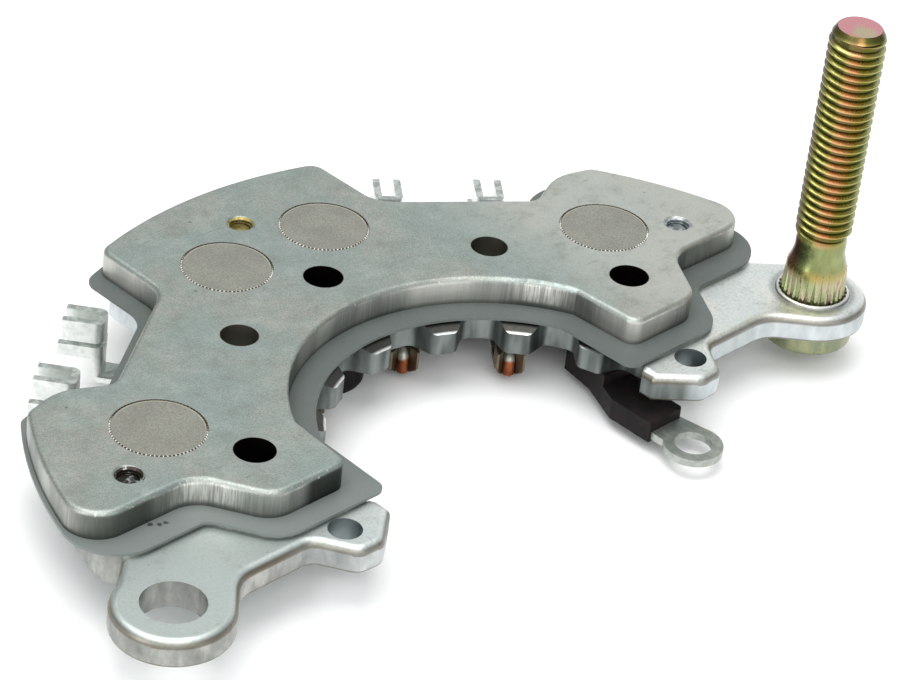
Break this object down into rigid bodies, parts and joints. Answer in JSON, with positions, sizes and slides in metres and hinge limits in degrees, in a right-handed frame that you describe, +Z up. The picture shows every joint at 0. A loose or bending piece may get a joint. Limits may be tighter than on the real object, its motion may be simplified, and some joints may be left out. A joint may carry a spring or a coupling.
{
  "type": "alternator rectifier",
  "caption": "Horseshoe diode plate for an alternator: two aluminium heat sinks with press-fit diodes, a sheet between them, an output stud and a moulded terminal block.",
  "frame": {"origin": "on the alternator's rotor axis, in the plane that the moulded feet rest on", "axes": "+Z up along the output stud, +Y towards the closed side of the horseshoe, +X towards the stud's side"},
  "size_m": [0.1351, 0.0785, 0.0543],
  "materials": {
    "stamped_aluminium": "matt stamped plate, light grey, sheared edges",
    "cast_aluminium": "bright satin casting with rolled edges",
    "insulating_sheet": "matt mid grey sheet",
    "yellow_zinc": "steel with yellow zinc plating",
    "black_moulding": "black moulded plastic",
    "tinned_steel": "satin tin plating",
    "lead_wire": "copper wire, tinned in part",
    "diode_nickel": "satin nickel plating",
    "screw_zinc": "zinc plated steel"
  },
  "bodies": {
    "root": {"assembly_screw_1": "screw_zinc", "assembly_screw_2": "screw_zinc", "assembly_screw_3": "screw_zinc", "insulating_bush_1": "black_moulding", "insulating_bush_2": "black_moulding", "insulating_bush_3": "black_moulding", "insulating_sheet": "insulating_sheet", "negative_diode_1": "diode_nickel", "negative_diode_2": "diode_nickel", "negative_diode_3": "diode_nickel", "negative_diode_4": "diode_nickel", "negative_diode_lead_1": "lead_wire", "negative_diode_lead_2": "lead_wire", "negative_diode_lead_3": "lead_wire", "negative_diode_lead_4": "lead_wire", "negative_heat_sink": "stamped_aluminium", "output_stud": "yellow_zinc", "phase_terminal_1": "tinned_steel", "phase_terminal_2": "tinned_steel", "phase_terminal_3": "tinned_steel", "phase_terminal_4": "tinned_steel", "positive_diode_1": "diode_nickel", "positive_diode_2": "diode_nickel", "positive_diode_3": "diode_nickel", "positive_diode_4": "diode_nickel", "positive_diode_lead_1": "lead_wire", "positive_diode_lead_2": "lead_wire", "positive_diode_lead_3": "lead_wire", "positive_diode_lead_4": "lead_wire", "positive_heat_sink": "cast_aluminium", "ring_terminal": "tinned_steel", "terminal_block": "black_moulding"}
  },
  "joints": []
}
